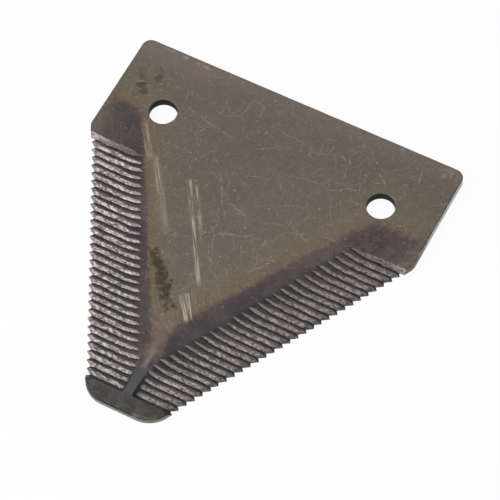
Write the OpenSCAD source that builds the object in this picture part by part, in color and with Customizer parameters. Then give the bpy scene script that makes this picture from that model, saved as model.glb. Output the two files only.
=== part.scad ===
// Mower sickle section: a stamped and hardened knife plate with two rivet holes,
// and a serrated bevel down each side of its blunt triangular blade.
// The origin is midway between the rivet holes, on the underside that lies on the knife back.
// +X runs across the section, +Y towards the back edge and +Z out of the bevelled face.

/* [Plate] */
// Width across the heel
section_width = 75; // [60:0.5:90]
// Length from the back edge to the tip
section_length = 80; // [74:0.5:92]
// Thickness of the plate
plate_thickness = 2.1; // [1.8:0.1:3.2]
// Depth of the straight-sided heel, from the back edge to the shoulders
heel_depth = 24.3; // [21:0.1:28]
// Width of the blunt tip before its corners are rounded
tip_width = 15; // [12:0.5:20]
// Radius of the two corners at the back edge
heel_corner_radius = 2; // [0.5:0.1:4]
// Radius of the two shoulders where the blade begins
shoulder_radius = 3; // [1:0.1:6]
// Radius of the two corners at the tip
tip_corner_radius = 6; // [2:0.1:8]

/* [Rivet holes] */
// Distance between the two holes
hole_spacing = 50.8; // [40:0.1:58]
// Diameter of the holes
hole_diameter = 6; // [4:0.1:8]
// Distance of the holes from the back edge
hole_setback = 15; // [9:0.1:18]

/* [Bevels] */
// Height of the serration ridges above the underside
ridge_height = 0.75; // [0.6:0.05:1]
// Slope of the narrow cutting bevel at the very edge, from level
edge_angle = 28; // [22:1:36]
// Width of the level part of a bevel, square to the cutting edge
bevel_width = 7; // [6:0.1:8]
// Radius of the hollow where a bevel climbs towards the face
hollow_radius = 5.8; // [4:0.1:8]
// Radius of the roll where the hollow meets the face
roll_radius = 3; // [1:0.1:4]

/* [Serrations] */
// Spacing of the grooves, which run parallel to the back edge
groove_pitch = 1.68; // [1.4:0.02:2.4]
// Depth of the grooves below the ridges
groove_depth = 0.45; // [0.3:0.01:0.5]
// Width of the flat left on top of each ridge
ridge_land = 0.1; // [0.05:0.01:0.3]
// Distance from the shoulders to the first groove
groove_start = 2.2; // [1.5:0.1:4]
// Length of the level part of a groove, measured along it from the edge
groove_straight = 6.8; // [5:0.1:7.5]
// Length of a groove from the edge to where it runs out at the face
groove_length = 12.3; // [11:0.1:13]
// Slope of the wall that closes the first groove, from level
heel_wall_angle = 77; // [60:1:85]

/* [Tip] */
// Length of the plain block left at the tip
tip_block = 4.6; // [3.5:0.1:7]
// Thickness of the tip block and of the rib behind it
tip_thickness = 1.5; // [1.3:0.05:1.7]
// Slope of the wall between the last groove and the tip block, from level
tip_wall_angle = 48; // [40:1:70]
// Width along the top of the rib between the two bevels
rib_width = 2.2; // [1.5:0.1:4]
// Slope of the rib's sides, from level
rib_wall_angle = 70; // [55:1:85]
// Length of the ramp that leads down from the face to the rib
ramp_length = 3.5; // [2:0.1:6]
// Distance from the tip at which that ramp begins
ramp_start = 13.2; // [11:0.1:16]

/* [Hidden] */
$fn = 96;

// Distance by which a cutting shape passes the surface it cuts
pass = 0.4;

// Small growth of an arc, so that it crosses the lines and arcs it runs into at an angle
skim = 0.02;

// Share by which arcs are flatter than true tangents, so that they cross the lines they join
arc_ease = 1.1;

// Places along the plate, from the origin towards the back edge
back_y = hole_setback;
shoulder_y = back_y - heel_depth;
tip_y = back_y - section_length;

// Lean of the cutting edges from the centreline
edge_run = (section_width - tip_width) / 2 / (section_length - heel_depth);
edge_lean = atan(edge_run);

// Grooves, counted from the heel
valley_height = ridge_height - groove_depth;
first_valley_y = shoulder_y - groove_start;
groove_count = floor((first_valley_y - tip_y - tip_block) / groove_pitch) + 1;
last_valley_y = first_valley_y - (groove_count - 1) * groove_pitch;

// Height of the sharp ridges between grooves before their tops are ground flat
ridge_rise = groove_depth * groove_pitch / (groove_pitch - ridge_land);

// Distance from the blank's edge, along a groove, at which the narrow cutting bevel ends. The
// ridges of that bevel reach the underside just inside the blank's edge.
edge_inset = (valley_height + ridge_rise) / tan(edge_angle) + 2 * skim;

// Hollow and roll of the bevel, square to the cutting edge: two arcs that touch
hollow_centre_z = ridge_height + hollow_radius;
roll_centre_z = plate_thickness - roll_radius;
arc_reach = hollow_radius + roll_radius;
roll_inset = bevel_width + sqrt(arc_reach ^ 2 - (hollow_centre_z - roll_centre_z) ^ 2);
touch_share = hollow_radius / arc_reach;
touch_inset = bevel_width + (roll_inset - bevel_width) * touch_share;
touch_z = hollow_centre_z + (roll_centre_z - hollow_centre_z) * touch_share;

// Arc along which a groove climbs until it runs out in the roll
run_out_inset = min(groove_length * cos(edge_lean), roll_inset);
run_out_z = roll_centre_z + sqrt(roll_radius ^ 2 - (roll_inset - run_out_inset) ^ 2);
climb = run_out_z - valley_height;
climb_length = groove_length - groove_straight;
climb_radius = (climb_length ^ 2 + climb ^ 2) / 2 / climb;
climb_steps = 3;

// Section across the grooves from the heel to the tip: place along the plate, height above a
// groove floor. Its two end walls rise well past the face.
wall_top = 8 * plate_thickness;
teeth = [
    [first_valley_y + wall_top / tan(heel_wall_angle), wall_top],
    for (i = [0:2 * groove_count - 2])
        [first_valley_y - i * groove_pitch / 2, i % 2 * ridge_rise],
    [last_valley_y - wall_top / tan(tip_wall_angle), wall_top],
];

// Half the width of the blade at a place along the plate
function edge_x(y) = section_width / 2 - (shoulder_y - y) * edge_run;

// Height of a groove's floor, at a distance along it from where it starts to climb
function climb_z(along) = valley_height + climb_radius - sqrt(climb_radius ^ 2 - along ^ 2);

// Ends of the arc that rounds a corner of an outline
function arc_ends(corner, before, after, radius) =
    let (
        to_before = (before - corner) / norm(before - corner),
        to_after = (after - corner) / norm(after - corner),
        along = radius / tan(acos(to_before * to_after) / 2)
    )
    [corner + to_before * along, corner + to_after * along];

// Region between a chord and an arc on its right
module bulge(from, to, radius) {
    reach = norm(to - from) / 2;
    along = (to - from) / reach / 2;
    out = [along[1], -along[0]];
    arc_radius = arc_ease * radius;
    intersection() {
        translate((from + to) / 2 - out * sqrt(arc_radius ^ 2 - reach ^ 2)) circle(arc_radius);
        polygon([from, from + out * reach, to + out * reach, to]);
    }
}

// Outline of the stamped blank
module blank_outline() {
    heel_x = section_width / 2;
    tip_x = tip_width / 2;
    corners = [
        [heel_x, back_y],
        [-heel_x, back_y],
        [-heel_x, shoulder_y],
        [-tip_x, tip_y],
        [tip_x, tip_y],
        [heel_x, shoulder_y],
    ];
    radii = [
        heel_corner_radius,
        heel_corner_radius,
        shoulder_radius,
        tip_corner_radius,
        tip_corner_radius,
        shoulder_radius,
    ];
    count = len(corners);
    ends = [
        for (i = [0:count - 1])
            arc_ends(corners[i], corners[(i + count - 1) % count], corners[(i + 1) % count], radii[i]),
    ];
    polygon([for (pair = ends) each pair]);
    for (i = [0:count - 1])
        bulge(ends[i][0], ends[i][1], radii[i]);
}

// Section of a bevel square to the cutting edge: inset from the edge, then height
module bevel_profile() {
    top = plate_thickness + pass;
    difference() {
        union() {
            polygon([
                [-pass, ridge_height],
                [bevel_width, ridge_height],
                [touch_inset, touch_z],
                [roll_inset, touch_z],
                [roll_inset, top],
                [-pass, top],
            ]);
            intersection() {
                translate([bevel_width, hollow_centre_z]) circle(hollow_radius + skim);
                square([touch_inset, top]);
            }
        }
        translate([roll_inset, roll_centre_z]) circle(roll_radius + skim);
    }
}

// Smooth space of the right bevel, swept along the cutting edge from the first groove to the last
module smooth_bevel() {
    sweep_length = 2 * section_length;
    end_margin = groove_pitch / 8;
    intersection() {
        translate([section_width / 2, shoulder_y, 0])
            rotate([0, 0, -edge_lean])
                translate([0, sweep_length / 2, 0])
                    rotate([90, 0, 0])
                        linear_extrude(sweep_length) mirror([1, 0]) bevel_profile();
        translate([0, last_valley_y + end_margin, -pass])
            cube([
                section_width,
                first_valley_y - last_valley_y - 2 * end_margin,
                plate_thickness + 2 * pass,
            ]);
    }
}

// Space above a serrated surface that rises from the cutting edge at a steady slope. The groove
// floors pass through the given height at the given distance from the edge, measured along a groove.
module toothed_slope(inset, height, slope) {
    tilt = atan(slope);
    rotate([0, tilt, 0])
        rotate([90, 0, 90])
            linear_extrude(4 * section_width, center = true)
                polygon([
                    for (tooth = teeth)
                        [tooth[0], cos(tilt) * (height + slope * (edge_x(tooth[0]) - inset) + tooth[1])],
                ]);
}

// Space of all grooves of the right bevel: a level length, then steps that climb the hollow
module grooves() {
    step = climb_length / climb_steps;
    intersection() {
        toothed_slope(edge_inset, valley_height, 0);
        intersection_for(i = [0:climb_steps - 1])
            toothed_slope(
                groove_straight + i * step,
                climb_z(i * step),
                (climb_z((i + 1) * step) - climb_z(i * step)) / step
            );
    }
}

// Space to the right of the rib
module beside_rib() {
    top = plate_thickness + pass;
    rib_run = 1 / tan(rib_wall_angle);
    translate([0, back_y, 0])
        rotate([90, 0, 0])
            linear_extrude(2 * section_length)
                polygon([
                    [rib_width / 2 + (tip_thickness + pass) * rib_run, -pass],
                    [section_width, -pass],
                    [section_width, top],
                    [rib_width / 2 - (top - tip_thickness) * rib_run, top],
                ]);
}

// Space of the whole right bevel with its grooves
module serrated_bevel() {
    intersection() {
        smooth_bevel();
        beside_rib();
    }
    intersection() {
        grooves();
        beside_rib();
    }
    toothed_slope(edge_inset, valley_height, tan(edge_angle));
}

// Space above the rib and the tip block, with the ramp down from the face
module tip_relief() {
    top = plate_thickness + pass;
    ramp_y = tip_y + ramp_start;
    ramp_slope = (plate_thickness - tip_thickness) / ramp_length;
    rotate([90, 0, 90])
        linear_extrude(2 * section_width, center = true)
            polygon([
                [ramp_y + pass / ramp_slope, top],
                [ramp_y - ramp_length, tip_thickness],
                [tip_y - pass, tip_thickness],
                [tip_y - pass, top],
            ]);
}

// The whole section
module knife_section() {
    color([0.46, 0.42, 0.39])
        difference() {
            linear_extrude(plate_thickness) blank_outline();
            for (side = [-1, 1])
                translate([side * hole_spacing / 2, 0, -pass])
                    cylinder(d = hole_diameter, h = plate_thickness + 2 * pass);
            serrated_bevel();
            mirror([1, 0, 0]) serrated_bevel();
            tip_relief();
        }
}

knife_section();
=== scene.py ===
"""Looks of the mower sickle section: a dense skin over the CAD plate, its steel, floor, lights and camera."""

import math
from functools import reduce

import bmesh
import bpy
import numpy as np
from mathutils import Matrix, Vector
from mathutils.geometry import delaunay_2d_cdt


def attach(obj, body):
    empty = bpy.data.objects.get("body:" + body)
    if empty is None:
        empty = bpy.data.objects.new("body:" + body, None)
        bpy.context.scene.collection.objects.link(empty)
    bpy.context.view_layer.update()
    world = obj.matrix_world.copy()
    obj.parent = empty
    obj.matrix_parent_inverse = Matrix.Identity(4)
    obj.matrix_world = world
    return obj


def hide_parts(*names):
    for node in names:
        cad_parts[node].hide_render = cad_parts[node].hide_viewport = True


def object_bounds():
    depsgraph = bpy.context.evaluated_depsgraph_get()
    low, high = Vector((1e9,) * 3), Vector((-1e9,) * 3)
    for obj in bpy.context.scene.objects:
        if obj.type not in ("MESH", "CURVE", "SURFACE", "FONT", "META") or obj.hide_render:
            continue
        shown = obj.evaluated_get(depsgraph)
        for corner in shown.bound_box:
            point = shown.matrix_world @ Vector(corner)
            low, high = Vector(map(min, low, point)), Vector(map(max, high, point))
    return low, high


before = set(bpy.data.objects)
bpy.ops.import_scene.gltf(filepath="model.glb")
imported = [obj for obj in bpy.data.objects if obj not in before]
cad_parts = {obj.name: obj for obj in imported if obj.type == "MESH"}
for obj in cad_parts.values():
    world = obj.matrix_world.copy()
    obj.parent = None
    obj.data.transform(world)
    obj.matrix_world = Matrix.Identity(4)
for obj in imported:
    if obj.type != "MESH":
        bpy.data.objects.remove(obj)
cad_low, cad_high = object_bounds()

# Overall sizes in millimetres, from the frame
WIDTH, LENGTH, THICK = (round(1000 * (high - low), 3) for low, high in zip(cad_low, cad_high))
BACK_Y = round(1000 * cad_high[1], 3)

# Other sizes in millimetres and slopes, as in the part's source
HEEL_DEPTH, TIP_WIDTH = 24.3, 15.0
HEEL_RADIUS, SHOULDER_RADIUS, TIP_RADIUS = 2.0, 3.0, 6.0
HOLE_SPACING, HOLE_RADIUS = 50.8, 3.0
RIDGE_HEIGHT, GROOVE_DEPTH, RIDGE_LAND, PITCH = 0.75, 0.45, 0.1, 1.68
BEVEL_WIDTH, HOLLOW_RADIUS, ROLL_RADIUS = 7.0, 5.8, 3.0
GROOVE_START, GROOVE_STRAIGHT, GROOVE_LENGTH, GROOVES = 2.2, 6.8, 12.3, 30
TIP_THICK, RIB_WIDTH, RAMP_LENGTH, RAMP_START = 1.5, 2.2, 3.5, 13.2
EDGE_SLOPE, HEEL_WALL, TIP_WALL, RIB_WALL = (math.tan(math.radians(a)) for a in (28, 77, 48, 70))
SKIM = 0.02

# Sizes that only the skin has: rounded edges and hole rims, and a rib that is trimmed and filleted
EDGE_ROUND, TIP_ROUND, RIM_ROUND = 0.22, 0.24, 0.16
RIB_TRIM, RIB_FILLET, RIB_REACH, RIB_START = 0.2, 1.6, 4.0, 10.0
# Place of a ridge between two valleys, as a share of the pitch from the heel's side
CREST = 0.42
# Irregularities in millimetres: bends of the grooves, scatter of their ends, and wear
GROOVE_BEND, GROOVE_RIPPLE, WALL_BEND = 0.055, 0.02, 0.09
CLIMB_SCATTER, FLOOR_RIPPLE, RIDGE_WEAR = 0.14, 0.02, 0.05
EDGE_WEAR, CHIP_DEPTH = 0.06, 0.3
# How much the rounding of the outline varies, as a share of its radius
TIP_UNEVEN, EDGE_UNEVEN = 0.45, 0.25

# Places along the plate
SHOULDER_Y = BACK_Y - HEEL_DEPTH
TIP_Y = BACK_Y - LENGTH
RAMP_Y = TIP_Y + RAMP_START
FIRST_Y = SHOULDER_Y - GROOVE_START
LAST_Y = FIRST_Y - (GROOVES - 1) * PITCH
# First row of the blade, on the face behind the wall of the first groove
HEEL_ROW = FIRST_Y + 0.62

# Cutting edges and the section of a bevel
EDGE_RUN = (WIDTH - TIP_WIDTH) / 2 / (LENGTH - HEEL_DEPTH)
LEAN = math.atan(EDGE_RUN)
VALLEY = RIDGE_HEIGHT - GROOVE_DEPTH
RIDGE_RISE = GROOVE_DEPTH * PITCH / (PITCH - RIDGE_LAND)
EDGE_INSET = (VALLEY + RIDGE_RISE) / EDGE_SLOPE + 2 * SKIM
HOLLOW_Z = RIDGE_HEIGHT + HOLLOW_RADIUS
ROLL_Z = THICK - ROLL_RADIUS
ARC_REACH = HOLLOW_RADIUS + ROLL_RADIUS
ROLL_INSET = BEVEL_WIDTH + math.sqrt(ARC_REACH**2 - (HOLLOW_Z - ROLL_Z) ** 2)
TOUCH_INSET = BEVEL_WIDTH + (ROLL_INSET - BEVEL_WIDTH) * HOLLOW_RADIUS / ARC_REACH
RUN_OUT = GROOVE_LENGTH * math.cos(LEAN)
CLIMB = ROLL_Z + math.sqrt(ROLL_RADIUS**2 - (ROLL_INSET - RUN_OUT) ** 2) - VALLEY
CLIMB_LENGTH = GROOVE_LENGTH - GROOVE_STRAIGHT

# Tip corner: the arc's centre, and where it leaves the cutting edge
TIP_ALONG = TIP_RADIUS / math.tan(math.radians(90 + math.degrees(LEAN)) / 2)
TIP_CENTRE = (TIP_WIDTH / 2 - TIP_ALONG, TIP_Y + TIP_RADIUS)
TIP_ARC_Y = TIP_Y + TIP_ALONG * math.cos(LEAN)


# Heights of the skin
def noise(x, y, seed):
    """Smooth noise from -1 to 1, the same on every run."""

    def corner(i, j):
        n = (i * 374761393 + j * 668265263 + seed * 974634777) & 0xFFFFFFFF
        n = ((n ^ (n >> 13)) * 1274126177) & 0xFFFFFFFF
        return ((n ^ (n >> 16)) & 0xFFFF) / 32767.5 - 1

    i, j = np.floor(x).astype(np.int64), np.floor(y).astype(np.int64)
    a, b = x - i, y - j
    a, b = a * a * (3 - 2 * a), b * b * (3 - 2 * b)
    low = corner(i, j) * (1 - a) + corner(i + 1, j) * a
    high = corner(i, j + 1) * (1 - a) + corner(i + 1, j + 1) * a
    return low * (1 - b) + high * b


def ease(low, high, value):
    """Smooth step from 0 at the low value to 1 at the high one."""
    t = np.clip((value - low) / (high - low), 0, 1)
    return t * t * (3 - 2 * t)


def edge_x(y):
    """Half the width of the blade between its straight cutting edges."""
    return WIDTH / 2 - (SHOULDER_Y - y) * EDGE_RUN


def half_width(y):
    """Half the blank's width over the blade and the tip."""
    drop = np.clip(TIP_CENTRE[1] - y, 0, TIP_RADIUS)
    arc = TIP_CENTRE[0] + np.sqrt(TIP_RADIUS**2 - drop**2)
    return np.where(y < TIP_ARC_Y, arc, edge_x(y))


def rim_distance(x, y):
    """Distance from the blank's outline to a point inside it."""
    side = np.abs(x)
    away = np.minimum(WIDTH / 2 - side, BACK_Y - y)
    away = np.minimum(away, (edge_x(y) - side) * math.cos(LEAN))
    away = np.minimum(away, y - TIP_Y)
    cx, cy = WIDTH / 2 - HEEL_RADIUS, BACK_Y - HEEL_RADIUS
    in_corner = (side > cx) & (y > cy)
    away = np.where(in_corner, HEEL_RADIUS - np.hypot(side - cx, y - cy), away)
    cx, cy = TIP_CENTRE
    in_corner = (side > cx) & (y < cy - (side - cx) * EDGE_RUN)
    away = np.where(in_corner, TIP_RADIUS - np.hypot(side - cx, y - cy), away)
    return np.maximum(away, 0)


def hole_distance(x, y):
    """Distance from the rim of the nearer hole, below 0 inside it."""
    return np.hypot(np.abs(x) - HOLE_SPACING / 2, y) - HOLE_RADIUS


def teeth(x, y):
    """Height of the serrations above the groove floors, and the phase counted in grooves from the heel."""
    bent = y + GROOVE_BEND * noise(x * 0.5, y * 0.7, 3) + GROOVE_RIPPLE * noise(x * 1.7, y * 1.1, 4)
    bent = bent + WALL_BEND * noise(x * 0.9, y * 0, 5) * ease(FIRST_Y - 0.4, FIRST_Y, y)
    phase = (FIRST_Y - bent) / PITCH
    rise = RIDGE_RISE * np.minimum(phase % 1 / CREST, (1 - phase % 1) / (1 - CREST))
    rise = np.where(phase < 0, (bent - FIRST_Y) * HEEL_WALL, rise)
    rise = np.where(phase > GROOVES - 1, (LAST_Y - bent) * TIP_WALL, rise)
    return rise, phase


def chips(x, y):
    """How far the cutting edge is worn back."""
    worn = EDGE_WEAR * (1 + noise(x * 0.4, y * 1.9, 11))
    worn = worn + CHIP_DEPTH * ease(0.72, 1, noise(x * 0.3, y * 0.55, 12))
    return np.where((y < FIRST_Y) & (y > LAST_Y), worn, 0)


def surfaces(x, y):
    """Heights of the toothed and of the smooth bevel surface, and the phase of the serrations."""
    inset = edge_x(y) - np.abs(x)
    rise, phase = teeth(x, y)
    start = GROOVE_STRAIGHT + CLIMB_SCATTER * noise(np.round(phase) * 3.7 + np.sign(x) * 50, phase * 0, 21)
    run = np.clip((inset - start) / CLIMB_LENGTH, 0, 1.2)
    floor = VALLEY + CLIMB * (0.3 * run**2 + 0.7 * run**3)
    floor = floor + FLOOR_RIPPLE * noise(x * 1.4, y * 0.9, 22)
    edge = VALLEY + EDGE_SLOPE * (inset - EDGE_INSET - chips(x, y))
    toothed = np.minimum(floor, edge) + rise
    square = inset * math.cos(LEAN)
    in_hollow = np.clip(square - BEVEL_WIDTH, 0, HOLLOW_RADIUS - 0.1)
    in_roll = np.clip(ROLL_INSET - square, 0, ROLL_RADIUS)
    hollow = HOLLOW_RADIUS - np.sqrt(HOLLOW_RADIUS**2 - in_hollow**2)
    roll = ROLL_Z + np.sqrt(ROLL_RADIUS**2 - in_roll**2)
    ridge = RIDGE_HEIGHT - RIDGE_WEAR * (1 + noise(x * 0.9, y * 1.2, 23)) * ease(12, 8, inset)
    smooth = np.where(square < TOUCH_INSET, hollow + ridge, roll)
    margin = PITCH / 8
    smooth = np.where((y < FIRST_Y - margin) & (y > LAST_Y + margin), smooth, THICK)
    return toothed, smooth, phase


def height(x, y):
    """Top of the plate."""
    toothed, smooth, _ = surfaces(x, y)
    top = np.minimum(np.minimum(toothed, smooth), THICK)
    rib = TIP_THICK - (np.abs(x) - RIB_WIDTH / 2 + RIB_TRIM) * RIB_WALL
    fillet = np.maximum(RIB_FILLET - np.abs(top - rib), 0) ** 2 / (4 * RIB_FILLET)
    fillet = np.where(np.abs(x) < RIB_REACH, fillet, 0) * ease(RAMP_Y, TIP_Y + RIB_START, y)
    along = np.clip((RAMP_Y - y) / RAMP_LENGTH, 0, 1)
    relief = THICK - (THICK - TIP_THICK) * (along * 0.5 + ease(0, 1, along) * 0.5)
    top = np.minimum(np.maximum(top, rib) + fillet, relief)
    in_tip = y < LAST_Y
    radius = np.where(in_tip, TIP_ROUND, EDGE_ROUND)
    radius = radius * (1 + np.where(in_tip, TIP_UNEVEN, EDGE_UNEVEN) * noise(x * 0.6, y * 0.6, 31))
    gone = np.maximum(radius - rim_distance(x, y), 0)
    rounded = np.where(in_tip, TIP_THICK, THICK) - radius + np.sqrt(radius**2 - gone**2)
    top = np.where((y > FIRST_Y) | in_tip, np.minimum(top, rounded), top)
    return np.maximum(top, 0)


# Grid of the blade. Rows run from the heel to the tip: the first groove's wall, each flank of the
# serrations, the wall before the tip block, and the rounded front
HEEL_STEPS = np.array([0, 0.08, 0.14, 0.18, 0.22, 0.3, 0.4, 0.5, 0.57])
FLANK_SHARES = np.array([0, 0.08, 0.22, 0.4, 0.58, 0.76, 0.92])
TIP_STEPS = np.array([0, 0.12, 0.35, 0.6, 0.85, 1.0, 1.1, 1.2, 1.4])
FRONT_STEPS = np.array([0.42, 0.3, 0.2, 0.12, 0.06, 0.02, 0])
# Rows over the tip block start past the last groove's wall and end before the rounded front
BLOCK_START, BLOCK_END, BLOCK_ROWS = 1.7, 0.55, 10
# Columns run from an edge inwards: cutting bevel, level floor, climb, a last stretch and the face
EDGE_SHARES = np.array([0, 0.02, 0.06, 0.12, 0.2, 0.4, 0.7])
LEVEL_SHARES = np.linspace(0, 1, 21)[:-1]
CLIMB_SHARES = np.linspace(0, 1, 25)[:-1]
INNER_SHARES = np.linspace(0, 1, 9)
FACE_SHARES = np.linspace(0, 1, 13)[1:-1]
INNER_INSET, INNER_LENGTH = 13.2, 0.7
# Least width of the cutting bevel's columns, and the largest and least share of the level floor in the rest
EDGE_LEAST, LEVEL_MOST, LEVEL_LEAST = 0.5, 0.72, 0.3


def blade_rows():
    """y of every row."""
    rows = [HEEL_ROW - HEEL_STEPS]
    for groove in range(GROOVES - 1):
        valley_y = FIRST_Y - groove * PITCH
        rows.append(valley_y - FLANK_SHARES * CREST * PITCH)
        rows.append(valley_y - (1 - FLANK_SHARES[:0:-1] * (1 - CREST)) * PITCH)
    rows.append(LAST_Y - TIP_STEPS)
    rows.append(np.linspace(LAST_Y - BLOCK_START, TIP_Y + BLOCK_END, BLOCK_ROWS))
    rows.append(TIP_Y + FRONT_STEPS)
    return np.concatenate(rows)


def blade_columns(side, rows):
    """x of every column on one side for every row, edge first, and how far the edge is worn back."""
    edge = edge_x(rows)
    near = side * (edge - 1)
    rise, _ = teeth(near, rows)
    cut = EDGE_INSET + chips(near, rows) - (VALLEY + rise) / EDGE_SLOPE
    start = np.maximum(np.maximum(cut, 0), edge - half_width(rows))
    inner = np.minimum(INNER_INSET, edge - RIB_WIDTH / 2)
    second = np.maximum(EDGE_INSET, start + EDGE_LEAST)
    last = inner - INNER_LENGTH
    third = np.minimum(second + LEVEL_MOST * (last - second), GROOVE_STRAIGHT)
    third = np.maximum(third, second + LEVEL_LEAST * (last - second))
    spans = [
        (start, second, EDGE_SHARES),
        (second, third, LEVEL_SHARES),
        (third, last, CLIMB_SHARES),
        (last, inner, INNER_SHARES),
    ]
    inset = np.concatenate([a[:, None] + (b - a)[:, None] * shares for a, b, shares in spans], axis=1)
    return side * (edge[:, None] - inset), start


def blade_grid():
    """Points on top of the blade, in rows from the left edge to the right one."""
    rows = blade_rows()
    left, left_start = blade_columns(-1, rows)
    right, right_start = blade_columns(1, rows)
    face = left[:, -1:] + (right[:, -1:] - left[:, -1:]) * FACE_SHARES
    x = np.concatenate([left, face, right[:, ::-1]], axis=1)
    y = np.repeat(rows[:, None], x.shape[1], axis=1)
    z = height(x, y)
    # Where a cutting edge is worn back, the bevel runs down to the underside
    serrated = (rows < FIRST_Y) & (rows > LAST_Y)
    z[serrated & (left_start > 0.002), 0] = 0
    z[serrated & (right_start > 0.002), -1] = 0
    return np.stack([x, y, z], -1)


# Skin
TOP, EDGE, UNDER, BORE = range(4)
# Takes a point straight down to the underside
DOWN = np.array([1, 1, 0])


class Skin:
    """Points, faces and the kind of each face."""

    def __init__(self):
        self.points = np.empty((0, 3))
        self.faces = []
        self.kinds = []

    def add_points(self, new):
        """Adds points and gives their indices."""
        first = len(self.points)
        self.points = np.concatenate([self.points, np.reshape(new, (-1, 3))])
        return np.arange(first, len(self.points))

    def add_faces(self, new, kind):
        """Adds faces, given as indices of their corners."""
        self.faces.extend(tuple(int(i) for i in face) for face in new)
        self.kinds.extend([kind] * len(new))

    def add_strip(self, high, low, kind):
        """Adds four-sided faces between two chains of points."""
        self.add_faces(np.stack([high[:-1], low[:-1], low[1:], high[1:]], -1), kind)


def add_blade(skin):
    """Adds the blade. Gives the indices of its first row, on top and at both ends below."""
    grid = blade_grid()
    index = skin.add_points(grid).reshape(grid.shape[:2])
    quads = np.stack([index[:-1, :-1], index[1:, :-1], index[1:, 1:], index[:-1, 1:]], -1)
    skin.add_faces(quads.reshape(-1, 4), TOP)
    low_left = skin.add_points(grid[:, 0] * DOWN)
    low_right = skin.add_points(grid[:, -1] * DOWN)
    low_front = skin.add_points(grid[-1, 1:-1] * DOWN)
    low_front = np.concatenate([low_left[-1:], low_front, low_right[-1:]])
    skin.add_strip(low_left[:-1], low_right[:-1], UNDER)
    skin.add_faces([[low_left[-2], low_right[-2], *low_front[::-1]]], UNDER)
    skin.add_strip(index[:, 0], low_left, EDGE)
    skin.add_strip(low_right, index[:, -1], EDGE)
    skin.add_strip(index[-1], low_front, EDGE)
    return index[0], low_left[:1], low_right[:1]


def heel_loop(away):
    """The heel's outline moved in by a distance, from the right end of the blade's first row to the left."""
    along = SHOULDER_RADIUS * math.tan(LEAN / 2)
    shoulder = np.array([WIDTH / 2 - SHOULDER_RADIUS, SHOULDER_Y + along])
    corner = np.array([WIDTH / 2 - HEEL_RADIUS, BACK_Y - HEEL_RADIUS])
    half = [[edge_x(HEEL_ROW) - away / math.cos(LEAN), HEEL_ROW]]
    for angle in np.linspace(-LEAN, 0, 7):
        half.append(shoulder + (SHOULDER_RADIUS - away) * np.array([math.cos(angle), math.sin(angle)]))
    for y in np.linspace(shoulder[1], corner[1], 24)[1:-1]:
        half.append([WIDTH / 2 - away, y])
    for angle in np.linspace(0, math.pi / 2, 11):
        half.append(corner + (HEEL_RADIUS - away) * np.array([math.cos(angle), math.sin(angle)]))
    for x in np.linspace(corner[0], 0, 38)[1:]:
        half.append([x, BACK_Y - away])
    half = np.array(half)
    return np.concatenate([half, half[-2::-1] * [-1, 1]])


# Points round a hole, distances of the rings from its rim, and the points between the rings and the outline
HOLE_TURNS = np.linspace(0, 2 * math.pi, 72, endpoint=False)
HOLE_STEPS = [0, 0.02, 0.06, 0.11, 0.17, 0.5]
SPREAD_STEP, SPREAD_START, HOLE_CLEAR = 2.5, -8.5, 1.2
# Smallest triangle in square millimetres, how far a ring's sides lie inside its circle, and merging distance
SLIVER, CHORD_GAP, MERGE = 1e-6, 0.003, 1e-7


def hole_ring(side, away):
    """A circle round a hole, at a distance from its rim."""
    circle = np.stack([np.cos(HOLE_TURNS), np.sin(HOLE_TURNS)], -1)
    return [side * HOLE_SPACING / 2, 0] + (HOLE_RADIUS + away) * circle


def heel_spread():
    """Points spread over the face of the heel, clear of the holes."""
    columns = np.arange(SPREAD_STEP - WIDTH / 2, WIDTH / 2 - 1, SPREAD_STEP)
    rows = np.arange(SPREAD_START, BACK_Y - 1, SPREAD_STEP)
    x, y = np.meshgrid(columns, rows, indexing="ij")
    spread = np.stack([x.ravel(), y.ravel()], -1)
    return spread[hole_distance(*spread.T) > HOLE_CLEAR]


def ring_edges(chain):
    """Pairs of neighbours round a closed chain."""
    return list(zip(chain, np.roll(chain, -1)))


def places(parts):
    """Where the points of each part stand when all parts are put in one list."""
    ends = np.cumsum([len(part) for part in parts])
    return [np.arange(end - len(part), end) for part, end in zip(parts, ends)]


def flat_triangles(points, edges):
    """Triangles between flat points that keep the given edges, without the holes and without slivers."""
    vectors = [Vector(p) for p in points]
    pairs = [(int(a), int(b)) for a, b in edges]
    _, _, found, origins, _, _ = delaunay_2d_cdt(vectors, pairs, [], 0, MERGE)
    triangles = np.array([[origins[i][0] for i in triangle] for triangle in found])
    a, b, c = (points[triangles[:, k]] for k in range(3))
    area = np.abs((b - a)[:, 0] * (c - a)[:, 1] - (c - a)[:, 0] * (b - a)[:, 1]) / 2
    middle = (a + b + c) / 3
    return triangles[(area > SLIVER) & (hole_distance(*middle.T) > -CHORD_GAP)]


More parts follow.
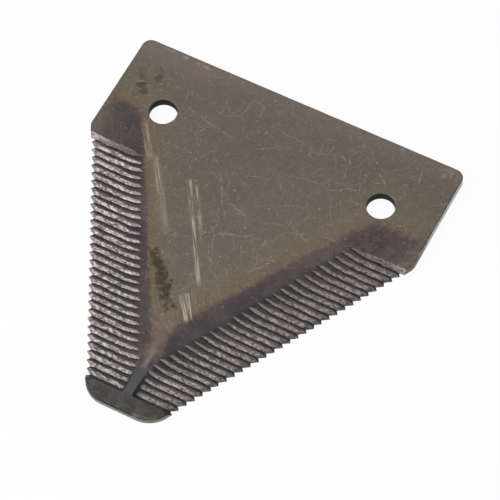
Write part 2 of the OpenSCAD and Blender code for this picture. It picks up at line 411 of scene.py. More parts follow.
def add_heel(skin, first_row, low_left, low_right):
    """Adds the heel, from the ends of the blade's first row to the back edge."""
    row = skin.points[first_row][:, :2]
    # Each loop inside the outline goes on from an outer column of the first row
    insets = EDGE_SHARES[:-1] * EDGE_INSET
    loops = [heel_loop(inset * math.cos(LEAN))[1:-1] for inset in insets]
    rings = [hole_ring(side, away) for side in (-1, 1) for away in HOLE_STEPS]
    parts = [row, *loops, *rings, heel_spread()]
    chains = places(parts)
    loop_chains, ring_chains = chains[1 : 1 + len(loops)], chains[1 + len(loops) : -1]

    # Top
    edges = []
    for k, chain in enumerate(loop_chains):
        edges += ring_edges([len(row) - 1 - k, *chain, k])[:-1]
    for chain in ring_chains:
        edges += ring_edges(chain)
    edges += ring_edges(chains[0])[:-1]
    flat = np.concatenate(parts)
    triangles = flat_triangles(flat, edges)
    gone = np.maximum(RIM_ROUND - np.maximum(hole_distance(*flat.T), 0), 0)
    z = height(*flat.T) - RIM_ROUND + np.sqrt(RIM_ROUND**2 - gone**2)
    index = np.concatenate([first_row, skin.add_points(np.column_stack([flat, z])[len(row) :])])
    skin.add_faces(index[triangles], TOP)

    # Walls of the outline and of the holes
    outline = np.concatenate([first_row[-1:], index[loop_chains[0]], first_row[:1]])
    low_outline = skin.add_points(skin.points[outline[1:-1]] * DOWN)
    low_outline = np.concatenate([low_right, low_outline, low_left])
    skin.add_strip(outline, low_outline, EDGE)
    low_chains = [low_outline]
    for chain in ring_chains[:: len(HOLE_STEPS)]:
        high = index[chain]
        low = skin.add_points(skin.points[high] * DOWN)
        skin.add_faces(np.stack([high, np.roll(high, -1), np.roll(low, -1), low], -1), BORE)
        low_chains.append(low)

    # Underside
    under = np.concatenate(low_chains)
    edges = []
    for chain in places(low_chains):
        edges += ring_edges(chain)
    triangles = flat_triangles(skin.points[under][:, :2], edges)
    skin.add_faces(under[triangles[:, ::-1]], UNDER)


def surface_values(points):
    """What the steel's look depends on, for each point."""
    x, y, z = points.T
    toothed, smooth, phase = surfaces(x, y)
    in_grooves = (phase > -0.36) & (phase < GROOVES - 1 + 0.05) & (z < THICK - 0.02)
    ground = ease(-0.03, 0.1, np.minimum(smooth, THICK) - toothed) * in_grooves
    beside_rib = ease(0.1, 1.0, np.abs(x) - RIB_WIDTH / 2)
    facing_tip = ease(CREST - 0.14, CREST, phase % 1) * ease(1.0, 0.95, phase % 1)
    return {
        # 1 on the ground serrations
        "ground": ground * np.where(y < RAMP_Y, beside_rib, 1),
        # 0 on flanks that face the heel, 1 on flanks that face the tip, 2 on the first groove's wall
        "flank": np.where(phase < 0, 2, facing_tip),
        # Distance from the cutting edge, along a groove
        "inset": edge_x(y) - np.abs(x),
        # 1 at the outline
        "rim": 1 - ease(0.05, 0.3, rim_distance(x, y)),
    }


def knife_mesh():
    """The whole skin as one closed mesh."""
    skin = Skin()
    add_heel(skin, *add_blade(skin))
    mesh = bpy.data.meshes.new("knife_skin")
    mesh.from_pydata([tuple(p) for p in skin.points * 0.001], [], skin.faces)
    mesh.polygons.foreach_set("material_index", np.array(skin.kinds, np.int32))
    for name, value in surface_values(skin.points).items():
        layer = mesh.attributes.new(name, "FLOAT", "POINT")
        layer.data.foreach_set("value", np.asarray(value, np.float32))
    # Along the cutting edges the top meets the underside, so the walls there have no height
    joined = bmesh.new()
    joined.from_mesh(mesh)
    bmesh.ops.remove_doubles(joined, verts=joined.verts, dist=2e-8)
    joined.to_mesh(mesh)
    joined.free()
    mesh.update()
    mesh.shade_smooth()
    mesh.set_sharp_from_angle(angle=math.radians(32))
    return mesh


# Materials
def srgb(r, g, b):
    """A colour as it looks on a screen, 0 to 255, in the linear values that a shader takes."""
    part = [c / 255 for c in (r, g, b)]
    return tuple(c / 12.92 if c <= 0.04045 else ((c + 0.055) / 1.055) ** 2.4 for c in part) + (1.0,)


class Nodes:
    """Short calls for the nodes of one material.

    Nodes are made in the order in which they run, so that the renderer has few values to hold at once.
    """

    def __init__(self, name):
        self.material = bpy.data.materials.new(name)
        self.material.use_nodes = True
        self.tree = self.material.node_tree
        self.shader = self.tree.nodes["Principled BSDF"]
        place = self.new("ShaderNodeTexCoord")
        scaled = self.new("ShaderNodeVectorMath", operation="SCALE")
        self.link(place.outputs["Object"], scaled.inputs[0])
        scaled.inputs["Scale"].default_value = 1000
        self.mm = scaled.outputs["Vector"]
        parts = self.new("ShaderNodeSeparateXYZ")
        self.link(self.mm, parts.inputs[0])
        self.x, self.y, self.z = parts.outputs

    def new(self, kind, **settings):
        node = self.tree.nodes.new(kind)
        for key, value in settings.items():
            setattr(node, key, value)
        return node

    def link(self, source, target):
        self.tree.links.new(source, target)

    def feed(self, target, value):
        """Links a socket to a value from another node, or sets it to a constant."""
        if isinstance(value, bpy.types.NodeSocket):
            self.link(value, target)
        else:
            target.default_value = value

    def math(self, operation, *values):
        node = self.new("ShaderNodeMath", operation=operation)
        for target, value in zip(node.inputs, values):
            self.feed(target, value)
        return node.outputs[0]

    def add(self, a, b):
        return self.math("ADD", a, b)

    def times(self, a, b):
        return self.math("MULTIPLY", a, b)

    def highest(self, values):
        return reduce(lambda a, b: self.math("MAXIMUM", a, b), values)

    def plane(self, a, b, c):
        """a x + b y + c, in millimetres."""
        return self.math("MULTIPLY_ADD", self.x, a, self.math("MULTIPLY_ADD", self.y, b, c))

    def scale(self, value, low, high, **settings):
        """A value scaled to 0 at the low end and 1 at the high end."""
        node = self.new("ShaderNodeMapRange", **settings)
        for target, item in zip(("Value", "From Min", "From Max"), (value, low, high)):
            self.feed(node.inputs[target], item)
        return node.outputs["Result"]

    def ease(self, value, low, high):
        return self.scale(value, low, high, interpolation_type="SMOOTHSTEP")

    def noise(self, scale, detail=2.0, rough=0.5, warp=0.0, turn=0, stretch=(1, 1, 1), seed=0):
        """Smooth noise from 0 to 1, turned by an angle in degrees and stretched."""
        source = self.mm
        if turn or stretch != (1, 1, 1) or seed:
            mapping = self.new("ShaderNodeMapping", vector_type="TEXTURE")
            self.link(source, mapping.inputs["Vector"])
            mapping.inputs["Location"].default_value = (seed * 17.3, seed * 9.1, seed * 4.7)
            mapping.inputs["Rotation"].default_value = (0, 0, math.radians(turn))
            mapping.inputs["Scale"].default_value = stretch
            source = mapping.outputs["Vector"]
        node = self.new("ShaderNodeTexNoise", noise_dimensions="3D")
        self.link(source, node.inputs["Vector"])
        for key, value in (("Scale", scale), ("Detail", detail), ("Roughness", rough), ("Distortion", warp)):
            node.inputs[key].default_value = value
        return node.outputs["Fac"]

    def attribute(self, name):
        return self.new("ShaderNodeAttribute", attribute_name=name).outputs["Fac"]

    def mix(self, share, a, b):
        node = self.new("ShaderNodeMix", data_type="RGBA")
        for target, value in ((node.inputs[0], share), (node.inputs[6], a), (node.inputs[7], b)):
            self.feed(target, value)
        return node.outputs[2]

    def tint(self, colour, rgb, share, strength):
        """A colour with a share of another one, given as it looks on a screen."""
        return self.mix(self.times(share, strength), colour, srgb(*rgb))

    def ramp(self, value, stops):
        """A colour for each value, given as pairs of a value and a colour in rising order."""
        low, high = stops[0][0], stops[-1][0]
        place = self.scale(value, low, high)
        node = self.new("ShaderNodeValToRGB")
        elements = node.color_ramp.elements
        while len(elements) < len(stops):
            elements.new(0.5)
        for element, (at, rgb) in zip(elements, stops):
            element.position = (at - low) / (high - low)
            element.color = srgb(*rgb)
        self.link(place, node.inputs["Fac"])
        return node.outputs["Color"]

    def line(self, start, end):
        """Distances along and across the line between two points, and its length."""
        (x0, y0), (x1, y1) = start, end
        length = math.hypot(x1 - x0, y1 - y0)
        ax, ay = (x1 - x0) / length, (y1 - y0) / length
        along = self.plane(ax, ay, -(ax * x0 + ay * y0))
        across = self.plane(-ay, ax, ay * x0 - ax * y0)
        return along, across, length

    def streak(self, start, end, width, seed):
        """A brushed mark between two points, broken up along its length."""
        along, across, length = self.line(start, end)
        inside = self.ease(self.math("ABSOLUTE", across), width, width * 0.35)
        ends = self.times(self.ease(along, 0, length * 0.12), self.ease(along, length, length * 0.8))
        turn = math.degrees(math.atan2(end[1] - start[1], end[0] - start[0]))
        grain = self.noise(2.0, 3, 0.65, turn=turn, stretch=(13, 0.7, 1), seed=seed)
        return self.times(self.times(inside, ends), self.ease(grain, 0.42, 0.62))

    def scratch(self, start, end, width, bend, broken):
        """A single scratch between two points, bent by one noise and broken up by another."""
        along, across, length = self.line(start, end)
        across = self.math("MULTIPLY_ADD", bend, 2.0, across)
        inside = self.ease(self.math("ABSOLUTE", across), width, width * 0.2)
        ends = self.times(self.ease(along, 0, length * 0.1), self.ease(along, length, length * 0.9))
        return self.times(self.times(inside, ends), broken)

    def scratches(self, turn, seed, low, high):
        """Hairlines that run about one way, a little bent."""
        fine = self.noise(1.4, 2, 0.5, warp=0.9, turn=turn, stretch=(10, 0.48, 1), seed=seed)
        here = self.noise(0.22, 2, 0.5, seed=seed + 3.3)
        return self.times(self.ease(fine, low, high), self.ease(here, 0.45, 0.62))

    def curls(self, scale, seed, level, width):
        """Long bent hairlines, broken up: lines of equal height on a smooth noise."""
        field = self.noise(scale, 0.0, seed=seed)
        line = self.ease(self.math("ABSOLUTE", self.add(field, -level)), width, width * 0.3)
        here = self.noise(scale * 1.7, 2, 0.5, seed=seed + 6.1)
        return self.times(line, self.ease(here, 0.48, 0.6))

    def finish(self, colour, metallic, rough):
        """Feeds the shader, and gives the finished material."""
        for key, value in (("Base Color", colour), ("Metallic", metallic), ("Roughness", rough)):
            self.feed(self.shader.inputs[key], value)
        return self.material

    def bump(self, relief, strength, depth):
        """Fine relief, with its depth in metres."""
        node = self.new("ShaderNodeBump")
        node.inputs["Strength"].default_value = strength
        node.inputs["Distance"].default_value = depth
        self.link(relief, node.inputs["Height"])
        self.link(node.outputs["Normal"], self.shader.inputs["Normal"])


# Places of the tint and the marks, in millimetres in the part's frame
TINT_LEFT = ((-26.3, -7.0), (-3.2, -45.8))
TINT_RIGHT = ((24.6, -6.6), (4.1, -39.5))
HEEL_TINT_LEFT, HEEL_TINT_RIGHT = -2.0, -4.4
# Colour of the steel at each distance into the heated zone
HEAT_COLOURS = [
    (-9, (106, 95, 86)),
    (-5, (106, 96, 85)),
    (-2.4, (112, 101, 84)),
    (-0.6, (108, 94, 75)),
    (-0.2, (94, 78, 66)),
    (0.15, (77, 64, 66)),
    (0.9, (67, 59, 64)),
    (3, (57, 54, 58)),
    (9, (57, 57, 60)),
]
# Start, end, half width and strength
BRIGHT_STREAKS = [
    ((-12.8, -11.6), (-5.6, -23.4), 0.75, 0.9),
    ((-8.0, -19.4), (1.6, -34.2), 0.7, 0.75),
    ((-10.9, -12.2), (-2.4, -25.0), 0.6, 0.65),
    ((-1.4, -36.4), (3.2, -42.4), 0.65, 1.0),
    ((-0.4, -35.8), (3.8, -41.4), 0.55, 1.0),
    ((0.2, -34.4), (3.8, -39.4), 0.45, 0.7),
    ((-28.2, -3.4), (-21.6, -12.2), 0.9, 0.6),
    ((-22.0, -9.8), (-15.8, -18.6), 0.8, 0.45),
    ((-19.4, -13.2), (-10.6, -25.6), 1.0, 0.25),
]
# Start, end, half width and strength of the longer scratches
SCRATCHES = [
    ((-22.0, 3.3), (-8.7, 0.4), 0.26, 0.75),
    ((-1.9, -21.1), (7.8, -17.5), 0.3, 0.8),
    ((-8.0, -7.4), (-1.8, -17.1), 0.28, 0.8),
    ((-5.4, -6.0), (-4.2, -12.8), 0.24, 0.7),
    ((-9.3, -7.8), (-5.4, -11.6), 0.22, 0.6),
    ((-4.0, -12.4), (2.0, -14.7), 0.42, 0.9),
    ((1.5, -13.8), (4.2, -19.6), 0.22, 0.6),
    ((8.6, -15.9), (8.1, -19.6), 0.26, 0.7),
    ((13.5, -8.6), (11.5, -13.3), 0.24, 0.75),
    ((11.5, -13.1), (16.0, -14.5), 0.24, 0.75),
    ((14.0, -6.4), (18.0, -10.3), 0.24, 0.6),
    ((8.1, -26.6), (12.2, -21.4), 0.3, 0.7),
    ((13.2, -1.9), (21.0, 1.9), 0.26, 0.8),
    ((12.2, 7.2), (15.9, 6.0), 0.3, 1.0),
    ((14.2, 7.1), (16.3, 12.0), 0.24, 0.7),
    ((21.4, 7.0), (24.5, 4.7), 0.3, 1.0),
    ((6.0, 4.7), (12.2, 7.1), 0.22, 0.6),
    ((-1.5, 6.8), (4.7, 6.5), 0.26, 0.6),
    ((-3.8, 0.3), (1.1, 4.0), 0.26, 0.7),
    ((-13.1, -6.5), (-11.1, -3.3), 0.26, 0.7),
    ((-3.5, -16.4), (0.8, -29.2), 0.24, 0.6),
    ((-15.2, 10.1), (-13.8, 4.6), 0.26, 0.6),
]
# Start, end, half width, cover, raggedness, strength and colour
STAINS_AND_HIGHLIGHTS = [
    ((-11.2, -30.0), (-0.6, -41.4), 1.6, 0.2, 5.0, 0.9, (72, 60, 42)),
    ((-9.8, -31.2), (-2.0, -40.4), 1.2, 0.1, 6.0, 0.6, (58, 49, 36)),
    ((-33.4, 4.9), (-31.5, 1.8), 1.2, 0.25, 4.5, 0.7, (66, 55, 45)),
    ((-31.0, 9.9), (-29.6, 5.6), 0.9, 0.25, 4.5, 0.7, (66, 57, 48)),
    ((-34.8, 7.6), (-33.0, 4.6), 0.8, 0.2, 4.5, 0.6, (72, 62, 52)),
    # Pink-brown crest at the end of the face: partly its tint, partly a painted highlight on the rounded
    # ridge.
    ((0.2, -41.6), (0.2, -53.0), 2.4, 0.3, 1.6, 0.85, (122, 102, 94)),
    # Painted straw highlight on the ramp down to the tip.
    ((0.3, -49.6), (0.1, -55.2), 1.1, 0.2, 1.2, 0.8, (136, 123, 105)),
    ((-48.0, 14.5), (-16.0, 11.5), 7.0, 0.4, 1.6, 0.5, (124, 112, 104)),
    ((-32.4, 14.3), (-27.0, 14.1), 0.34, 0.0, 6.0, 0.6, (172, 154, 142)),
    ((-25.4, 14.1), (-20.6, 13.8), 0.36, 0.0, 6.0, 0.6, (170, 150, 137)),
    ((33.0, 12.4), (34.6, 12.9), 0.8, 0.2, 4.0, 0.8, (150, 130, 114)),
    ((2.6, -64.8), (9.0, -63.7), 0.45, 0.1, 4.0, 0.5, (132, 127, 110)),
    ((-20.6, -11.4), (-10.4, -26.0), 1.5, 0.2, 3.0, 0.35, (138, 126, 109)),
]
# Angle in degrees and seed of the straighter hairlines
HAIRLINES = [(18, 31), (62, 32), (-28, 33), (-62, 34), (100, 35)]
# Scale, seed, level, width and strength of the bent hairlines
CURLS = [
    (0.11, 71, 0.5, 0.008, 0.48),
    (0.15, 72, 0.47, 0.011, 0.42),
    (0.2, 73, 0.53, 0.013, 0.36),
    (0.1, 74, 0.44, 0.008, 0.48),
    (0.3, 75, 0.5, 0.016, 0.3),
    (0.36, 76, 0.45, 0.016, 0.3),
]


def heated_zone(n, coarse, medium):
    """How far into the heated zone a point lies, in millimetres, and the share of the heel's cooler sides."""

    def inside_of(line, sign):
        (x0, y0), (x1, y1) = line
        length = math.hypot(x1 - x0, y1 - y0)
        nx, ny = sign * abs(y1 - y0) / length, -abs(x1 - x0) / length
        return n.plane(nx, ny, -(nx * x0 + ny * y0))

    left_side, right_side = n.plane(0.6, 0.18, 22.4), n.plane(-0.9, 0.25, 33.6)
    left = n.math("SMOOTH_MIN", inside_of(TINT_LEFT, -1), n.plane(0, -0.5, 0.5 * HEEL_TINT_LEFT), 3.0)
    left = n.math("SMOOTH_MIN", left, left_side, 2.0)
    right = n.math("SMOOTH_MIN", inside_of(TINT_RIGHT, 1), n.plane(0, -0.8, 0.8 * HEEL_TINT_RIGHT), 4.0)
    right = n.math("SMOOTH_MIN", right, right_side, 3.0)
    outer = n.ease(n.math("MINIMUM", left_side, right_side), 1.6, -0.4)
    outer = n.times(outer, n.ease(n.y, -1, -5))
    heat = n.math("MAXIMUM", left, n.times(right, 0.7))
    for cloud, amount in ((coarse, 1.4), (medium, 1.2), (n.noise(1.7, 3, 0.6, seed=4), 1.2)):
        heat = n.math("MULTIPLY_ADD", n.add(cloud, -0.5), amount, heat)
    return heat, outer


def tinted_colour(n, heat, outer, medium):
    """Colour of the heated and the plain steel, and of the rib."""
    colour = n.ramp(heat, HEAT_COLOURS)
    # The right heel is heated less than the left
    weak = n.times(n.ease(n.x, 10, 26), n.ease(heat, -0.2, 1.2))
    colour = n.tint(colour, (98, 87, 77), weak, n.math("MULTIPLY_ADD", n.ease(medium, 0.42, 0.6), 0.6, 0.06))
    colour = n.tint(colour, (90, 82, 77), outer, 0.65)
    rib = n.times(n.ease(n.math("ABSOLUTE", n.x), 1.6, 0.8), n.ease(n.y, TIP_Y + 11.5, TIP_Y + 9))
    return n.tint(colour, (82, 84, 86), rib, 0.8)


def clouded(n, colour, cool, coarse, medium, fine):
    """Adds a light band along the back edge, faint clouds and the fine speckle of the oxide."""
    back = n.math("MULTIPLY_ADD", medium, 4.0, n.y)
    colour = n.tint(colour, (128, 116, 108), n.ease(back, 11, 16.5), 0.5)
    colour = n.tint(colour, (120, 107, 97), n.ease(coarse, 0.4, 0.7), 0.3)
    colour = n.tint(colour, (100, 92, 78), n.ease(medium, 0.52, 0.72), n.times(cool, 0.18))
    colour = n.tint(colour, (122, 108, 101), n.ease(medium, 0.48, 0.3), n.times(cool, 0.2))
    colour = n.tint(colour, (160, 150, 141), n.ease(fine, 0.45, 0.75), n.times(cool, 0.2))
    return n.tint(colour, (66, 58, 53), n.ease(fine, 0.48, 0.25), 0.3)


def with_tip(n, colour, medium, rim):
    """Adds the tip block, with its dark front rim."""
    tip = n.ease(n.math("MULTIPLY_ADD", n.add(medium, -0.5), 1.2, n.y), LAST_Y - 0.4, LAST_Y - 1.1)
    tip_colour = n.mix(n.ease(medium, 0.35, 0.65), srgb(64, 62, 60), srgb(82, 79, 76))
    front = n.times(rim, n.times(n.ease(n.y, TIP_Y + 1.6, TIP_Y + 0.8), n.ease(n.x, 6, 2)))
    tip_colour = n.tint(tip_colour, (34, 33, 32), front, 0.8)
    return n.mix(tip, colour, tip_colour)


def stains_and_highlights(n, colour):
    """Adds smears and stains, and at the end of the face a pink-brown crest, partly lightened as a painted
    highlight, and a painted straw highlight on the ramp.
    """
    for k, (start, end, width, cover, ragged, strength, rgb) in enumerate(STAINS_AND_HIGHLIGHTS):
        along, across, length = n.line(start, end)
        blot = n.noise(0.6, 4, 0.65, seed=7 + k)
        # 1 on the middle line and 0 at the sides and the ends, raised and lowered by the noise
        spot = n.math("SUBTRACT", 1.0, n.times(n.math("ABSOLUTE", across), 1 / width))
        spot = n.math("MINIMUM", spot, n.times(along, 1 / width))
        spot = n.math("MINIMUM", spot, n.times(n.math("SUBTRACT", length, along), 1 / width))
        spot = n.math("MULTIPLY_ADD", n.add(blot, -0.5), ragged, spot)
        colour = n.tint(colour, rgb, n.ease(spot, 0.25 - cover, 0.75 - cover + 1 / ragged), strength)
    return colour


def ground_colour(n, medium, grit):
    """Colour of the serrations: the flanks that face the tip are bare and pitted, lighter on the left as
    painted light and with a painted highlight where the grooves climb; the others are dark as painted shade.
    """
    flank, inset = n.attribute("flank"), n.attribute("inset")
    # The bare flanks and their glints are lighter on the left, where the key lamp stands: painted light.
    rightward = n.ease(n.x, -24, 26)
    bare = n.mix(rightward, srgb(167, 158, 155), srgb(131, 124, 121))
    bare = n.tint(bare, (112, 104, 103), n.ease(medium, 0.5, 0.66), 0.4)
    # Each groove has a tone of its own
    tone = n.noise(0.6, 1, stretch=(9, 1, 1), seed=13)
    bare = n.tint(bare, (116, 112, 118), n.ease(tone, 0.5, 0.7), 0.45)
    glint = n.mix(rightward, srgb(236, 230, 226), srgb(178, 168, 163))
    bare = n.mix(n.times(n.ease(grit, 0.5, 0.62), 0.75), bare, glint)
    bare = n.tint(bare, (74, 67, 65), n.ease(grit, 0.5, 0.38), 0.85)
    # Painted highlight where the groove floors climb towards the face.
    bare = n.tint(bare, (206, 199, 196), n.ease(inset, 8.0, 11.0), 0.25)
    # The flanks that face the heel get a dark colour: painted shade in the valleys.
    dark = n.mix(n.ease(grit, 0.35, 0.7), srgb(48, 44, 45), srgb(82, 76, 75))
    flanks = n.mix(n.ease(flank, 0.44, 0.56), dark, bare)
    flanks = n.tint(flanks, (90, 84, 82), n.ease(inset, 1.7, 1.2), 0.3)
    wall = n.mix(n.ease(n.x, -36, -22), srgb(222, 208, 200), srgb(162, 150, 146))
    wall = n.mix(n.ease(n.x, 12, 24), wall, srgb(196, 184, 178))
    wall = n.tint(wall, (86, 77, 75), n.ease(grit, 0.54, 0.36), 0.85)
    return n.mix(n.ease(flank, 1.2, 1.8), flanks, wall)


def bright_marks(n):
    """Share of bright streaks."""

    def streaks():
        for k, (start, end, width, strength) in enumerate(BRIGHT_STREAKS):
            yield n.times(n.streak(start, end, width, 20 + k), strength)

    return n.highest(streaks())


def hairlines(n, cool):
    """Share of scratches and specks."""
    bend = n.add(n.noise(0.35, 2, 0.5, seed=61), -0.5)
    broken = n.ease(n.noise(0.8, 3, 0.6, seed=62), 0.36, 0.56)

    def lines():
        for angle, seed in HAIRLINES:
            yield n.times(n.scratches(angle, seed, 0.63, 0.72), 0.8)
        for start, end, width, strength in SCRATCHES:
            yield n.times(n.scratch(start, end, width, bend, broken), strength)
        for scale, seed, level, width, strength in CURLS:
            yield n.times(n.curls(scale, seed, level, width), n.times(cool, strength))
        yield n.ease(n.noise(1.3, 0, seed=81), 0.76, 0.82)

    return n.highest(lines())


def with_heel_rim(n, colour, rim):
    """Adds a dark line with a few bright nicks along the rim of the heel."""
    rim = n.times(rim, n.ease(n.y, FIRST_Y, FIRST_Y + 1))
    colour = n.tint(colour, (84, 75, 68), rim, 0.3)
    return n.tint(colour, (172, 153, 137), rim, n.ease(n.noise(0.5, 3, 0.6, seed=51), 0.6, 0.68))


def steel_face():
    """The bevelled side."""
    n = Nodes("heat_tinted_steel")
    ground, rim = n.attribute("ground"), n.attribute("rim")
    coarse = n.noise(0.13, 3, 0.55)
    medium = n.noise(0.55, 4, 0.6, seed=2)
    fine = n.noise(3.2, 3, 0.6, seed=5)
    grit = n.noise(1.9, 4, 0.7, stretch=(1.5, 0.8, 1), seed=11)

    heat, outer = heated_zone(n, coarse, medium)
    cool = n.math("SUBTRACT", 1.0, n.times(n.ease(heat, -1, 1), 0.7))
    colour = tinted_colour(n, heat, outer, medium)
    colour = clouded(n, colour, cool, coarse, medium, fine)
    colour = with_tip(n, colour, medium, rim)
    # Smears and stains, and painted highlights at the end of the face.
    colour = stains_and_highlights(n, colour)
    colour = n.mix(ground, colour, ground_colour(n, medium, grit))
    marks = bright_marks(n)
    colour = n.tint(colour, (202, 192, 170), marks, 0.85)

    # Scratches stay off the serrations and are few near the tip
    hair = n.times(hairlines(n, cool), n.math("SUBTRACT", 1.0, ground))
    hair = n.times(hair, n.math("MULTIPLY_ADD", n.ease(n.y, LAST_Y + 12, LAST_Y), -0.8, 1.0))
    worn = n.mix(n.ease(heat, -0.5, 0.5), srgb(152, 140, 128), srgb(124, 112, 108))
    colour = n.mix(n.times(hair, 0.62), colour, worn)
    colour = with_heel_rim(n, colour, rim)

    rough = n.math("MULTIPLY_ADD", fine, 0.14, 0.4)
    rough = n.math("MULTIPLY_ADD", ground, 0.12, rough)
    rough = n.math("MULTIPLY_ADD", hair, -0.06, rough)
    n.bump(n.math("MULTIPLY_ADD", fine, 0.6, n.times(grit, n.times(ground, 2.2))), 0.5, 0.00006)
    return n.finish(colour, n.math("MULTIPLY_ADD", marks, 0.2, 0.6), rough)


def plain_underside():
    """The unseen side that lies on the knife back: the same steel, hardened along both cutting edges."""
    n = Nodes("plain_underside")
    coarse = n.noise(0.13, 3, 0.55, seed=91)
    fine = n.noise(3.2, 3, 0.6, seed=92)
    half = n.plane(0, EDGE_RUN, WIDTH / 2 - SHOULDER_Y * EDGE_RUN)
    from_edge = n.math("SUBTRACT", half, n.math("ABSOLUTE", n.x))
    heat = n.math("SUBTRACT", RUN_OUT, from_edge)
    heat = n.math("SMOOTH_MIN", heat, n.plane(0, -0.6, 0.6 * HEEL_TINT_RIGHT), 3.0)
    heat = n.math("MULTIPLY_ADD", n.add(coarse, -0.5), 5.0, heat)
    colour = n.ramp(heat, HEAT_COLOURS)
    colour = n.tint(colour, (66, 58, 53), n.ease(fine, 0.48, 0.25), 0.3)
    hair = n.math("MAXIMUM", n.scratches(28, 93, 0.6, 0.7), n.scratches(-74, 94, 0.6, 0.7))
    colour = n.tint(colour, (152, 140, 128), hair, 0.5)
    return n.finish(colour, 0.6, n.math("MULTIPLY_ADD", fine, 0.14, 0.4))


def sheared_edge():
    """Walls of the blank, with a rough and partly worn front at the tip."""
    n = Nodes("sheared_steel_edge")
    lines = n.noise(1.4, 4, 0.6, stretch=(0.5, 0.5, 6), seed=41)
    grit = n.noise(2.6, 3, 0.6, seed=42)
    colour = n.mix(n.ease(lines, 0.35, 0.65), srgb(160, 154, 148), srgb(206, 201, 196))
    colour = n.tint(colour, (112, 105, 98), n.ease(grit, 0.52, 0.72), 0.5)
    colour = n.tint(colour, (88, 83, 78), n.ease(n.y, 0, -7), 0.9)
    front = n.mix(n.ease(grit, 0.35, 0.65), srgb(88, 85, 81), srgb(172, 167, 158))
    front = n.tint(front, (34, 33, 32), n.ease(n.z, 0.75, 1.2), 0.8)
    worn = n.times(n.times(n.ease(n.x, 2.2, 3.6), n.ease(n.x, 9.0, 7.4)), n.ease(grit, 0.36, 0.56))
    front = n.tint(front, (140, 136, 118), worn, 0.8)
    colour = n.mix(n.ease(n.y, LAST_Y, LAST_Y - 1), colour, front)
    n.bump(n.add(lines, grit), 0.6, 0.00008)
    return n.finish(colour, 0.6, n.math("MULTIPLY_ADD", grit, 0.2, 0.36))


def punched_bore():
    """Walls of the holes, near black as painted shade and a little lighter towards the top."""
    n = Nodes("punched_bore")
    lines = n.noise(1.2, 3, 0.6, stretch=(0.5, 0.5, 5), seed=61)
    # Near-black colour: painted shade inside the holes.
    colour = n.mix(n.ease(lines, 0.35, 0.65), srgb(6, 7, 8), srgb(20, 21, 21))
    colour = n.mix(n.ease(n.z, THICK - 0.35, THICK), colour, srgb(30, 29, 28))
    n.bump(lines, 0.5, 0.00008)
    return n.finish(colour, 0.3, n.math("MULTIPLY_ADD", lines, 0.3, 0.6))


# The knife section, with a material for each kind of face
mesh = knife_mesh()
for material in (steel_face(), sheared_edge(), plain_underside(), punched_bore()):
    mesh.materials.append(material)
knife = bpy.data.objects.new("knife_skin", mesh)
bpy.context.scene.collection.objects.link(knife)
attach(knife, "root")
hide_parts("knife_section")


# Floor and world, with lengths in metres
FLOOR_REACH = 1.5
FLOOR_DROP = 0.00006
FLOOR_GLOW = 0.93


def seen_rays(tree):
    """1 for rays from the camera and for reflections and refractions."""
    path = tree.nodes.new("ShaderNodeLightPath")
    share = path.outputs["Is Camera Ray"]
    for name in ("Is Glossy Ray", "Is Transmission Ray"):
        node = tree.nodes.new("ShaderNodeMath")
        node.operation = "MAXIMUM"
        tree.links.new(share, node.inputs[0])
        tree.links.new(path.outputs[name], node.inputs[1])
        share = node.outputs[0]
    return share


def blend_shaders(tree, share, first, second, output):
    """Mixes two shaders and links them to a new output node."""
    blend = tree.nodes.new("ShaderNodeMixShader")
    for source, target in zip((share, first.outputs[0], second.outputs[0]), blend.inputs):
        tree.links.new(source, target)
    surface = tree.nodes.new(output)
    tree.links.new(blend.outputs[0], surface.inputs["Surface"])


def pale_floor():
    """Bright to the camera and to reflections, and still shaded by the plate."""
    paper = bpy.data.materials.new("pale_floor")
    paper.use_nodes = True
    tree = paper.node_tree
    tree.nodes.clear()
    diffuse = tree.nodes.new("ShaderNodeBsdfDiffuse")
    diffuse.inputs["Color"].default_value = (0.9, 0.9, 0.9, 1)
    glow = tree.nodes.new("ShaderNodeEmission")
    share = tree.nodes.new("ShaderNodeMath")
    share.operation = "MULTIPLY"
    share.inputs[1].default_value = FLOOR_GLOW
    tree.links.new(seen_rays(tree), share.inputs[0])
    blend_shaders(tree, share.outputs[0], diffuse, glow, "ShaderNodeOutputMaterial")
    return paper


def studio_world():
    """Soft light, brighter overhead than at the horizon, and white to the camera."""
    world = bpy.data.worlds.new("studio")
    world.use_nodes = True
    tree = world.node_tree
    tree.nodes.clear()
    place = tree.nodes.new("ShaderNodeTexCoord")
    parts = tree.nodes.new("ShaderNodeSeparateXYZ")
    tree.links.new(place.outputs["Generated"], parts.inputs[0])
    lift = tree.nodes.new("ShaderNodeMapRange")
    lift.interpolation_type = "SMOOTHSTEP"
    for key, value in (("From Min", -0.1), ("From Max", 0.85), ("To Min", 0.12), ("To Max", 0.75)):
        lift.inputs[key].default_value = value
    tree.links.new(parts.outputs["Z"], lift.inputs["Value"])
    soft = tree.nodes.new("ShaderNodeBackground")
    tree.links.new(lift.outputs["Result"], soft.inputs["Strength"])
    white = tree.nodes.new("ShaderNodeBackground")
    white.inputs["Color"].default_value = (1, 1, 1, 1)
    path = tree.nodes.new("ShaderNodeLightPath")
    blend_shaders(tree, path.outputs["Is Camera Ray"], soft, white, "ShaderNodeOutputWorld")
    return world


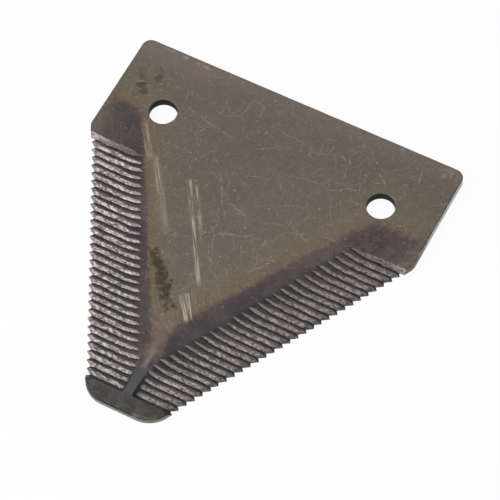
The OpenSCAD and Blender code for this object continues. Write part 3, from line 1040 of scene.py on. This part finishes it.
floor_mesh = bpy.data.meshes.new("floor")
floor_corners = [(x * FLOOR_REACH, y * FLOOR_REACH, 0) for x, y in ((-1, -1), (1, -1), (1, 1), (-1, 1))]
floor_mesh.from_pydata(floor_corners, [], [(0, 1, 2, 3)])
floor_mesh.materials.append(pale_floor())
floor = bpy.data.objects.new("floor", floor_mesh)
floor.location.z = -FLOOR_DROP
bpy.context.scene.collection.objects.link(floor)
bpy.context.scene.world = studio_world()

# Lamps
MIDDLE = Vector((0, -0.022, 0.001))


def softbox(name, direction, distance, size, power):
    """A square lamp that faces the middle of the plate."""
    light = bpy.data.lights.new(name, "AREA")
    light.shape = "SQUARE"
    light.size = size
    light.energy = power
    lamp = bpy.data.objects.new(name, light)
    toward = Vector(direction).normalized()
    lamp.location = MIDDLE + toward * distance
    lamp.rotation_euler = toward.to_track_quat("Z", "Y").to_euler()
    bpy.context.scene.collection.objects.link(lamp)


softbox("key", (-0.62, -0.55, 0.56), 0.36, 0.3, 0.62)
softbox("top", (-0.2, 0.1, 1.0), 0.6, 0.5, 0.65)

# Camera at the photograph's viewing angle
ELEVATION, TURN, ROLL = (math.radians(a) for a in (59.55, -30.40, 2.91))
DISTANCE = 0.6043
AIM = Vector((0.005817, -0.020306, 0))
FOCAL_PX, PHOTO_PX = 2968, 500
SENSOR_MM = 36
level = math.cos(ELEVATION)
forward = Vector((math.sin(TURN) * level, math.cos(TURN) * level, -math.sin(ELEVATION)))
across = Vector((math.cos(TURN), -math.sin(TURN), 0))
down = forward.cross(across)
across, down = (
    across * math.cos(ROLL) + down * math.sin(ROLL),
    down * math.cos(ROLL) - across * math.sin(ROLL),
)
camera = bpy.data.cameras.new("camera")
camera.sensor_width = SENSOR_MM
camera.lens = FOCAL_PX / PHOTO_PX * SENSOR_MM
camera.clip_start, camera.clip_end = 0.01, 10
eye = bpy.data.objects.new("camera", camera)
turned = Matrix((across, -down, -forward)).transposed().to_4x4()
eye.matrix_world = Matrix.Translation(AIM - forward * DISTANCE) @ turned
bpy.context.scene.collection.objects.link(eye)
bpy.context.scene.camera = eye
bpy.context.scene.view_settings.view_transform = "Standard"
